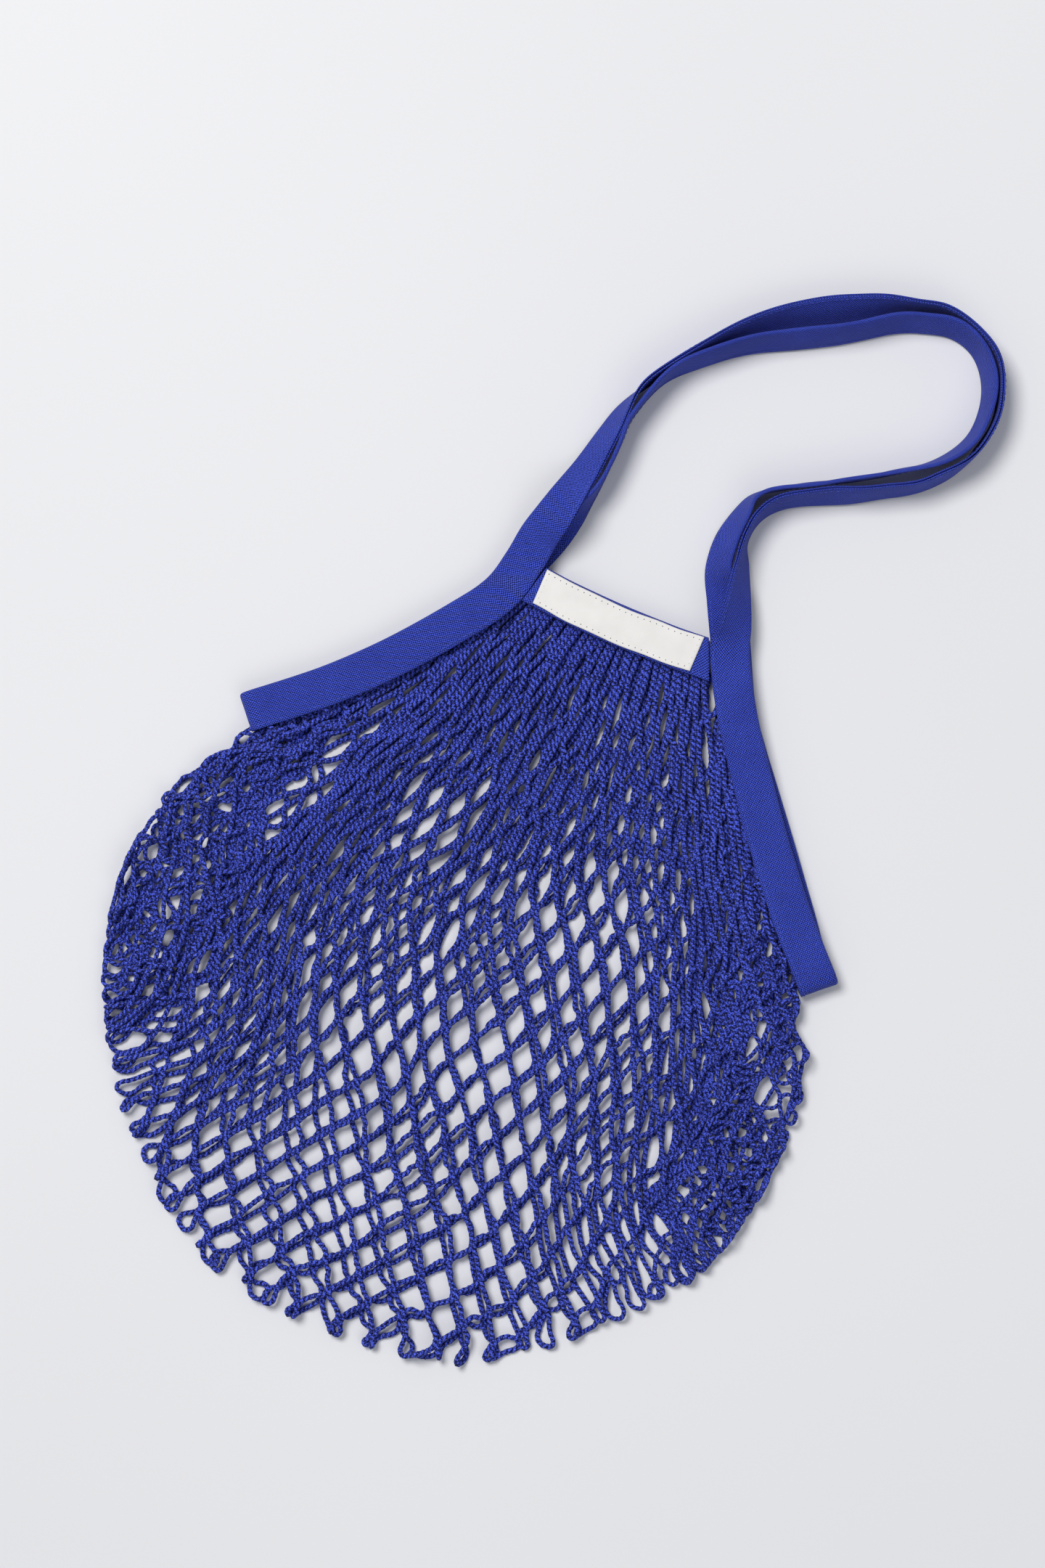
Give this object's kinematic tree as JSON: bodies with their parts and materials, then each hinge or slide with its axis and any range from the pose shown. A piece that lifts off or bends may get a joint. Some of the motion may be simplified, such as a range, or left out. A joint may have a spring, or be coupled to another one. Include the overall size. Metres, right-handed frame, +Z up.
{
  "type": "net shopping bag",
  "caption": "Knitted net shopping bag lying flat, with a canvas-bound mouth, long folded-tape shoulder straps and a bare patch on the mouth band.",
  "frame": {"origin": "on the surface under the middle of the mouth, where the back band lies", "axes": "+X along the mouth band, +Y from the bottom of the bag towards the straps, +Z up from the surface"},
  "size_m": [0.3972, 0.6552, 0.0291],
  "materials": {
    "cord_net": "knitted cotton cord, matt, cobalt blue",
    "canvas": "plain-weave cotton canvas, matt, cobalt blue",
    "patch": "smooth woven cotton, matt, cream"
  },
  "bodies": {
    "root": {"net_body": "cord_net", "front_band": "canvas", "back_band": "canvas", "front_tape": "canvas", "back_tape": "canvas", "label": "patch"}
  },
  "joints": []
}
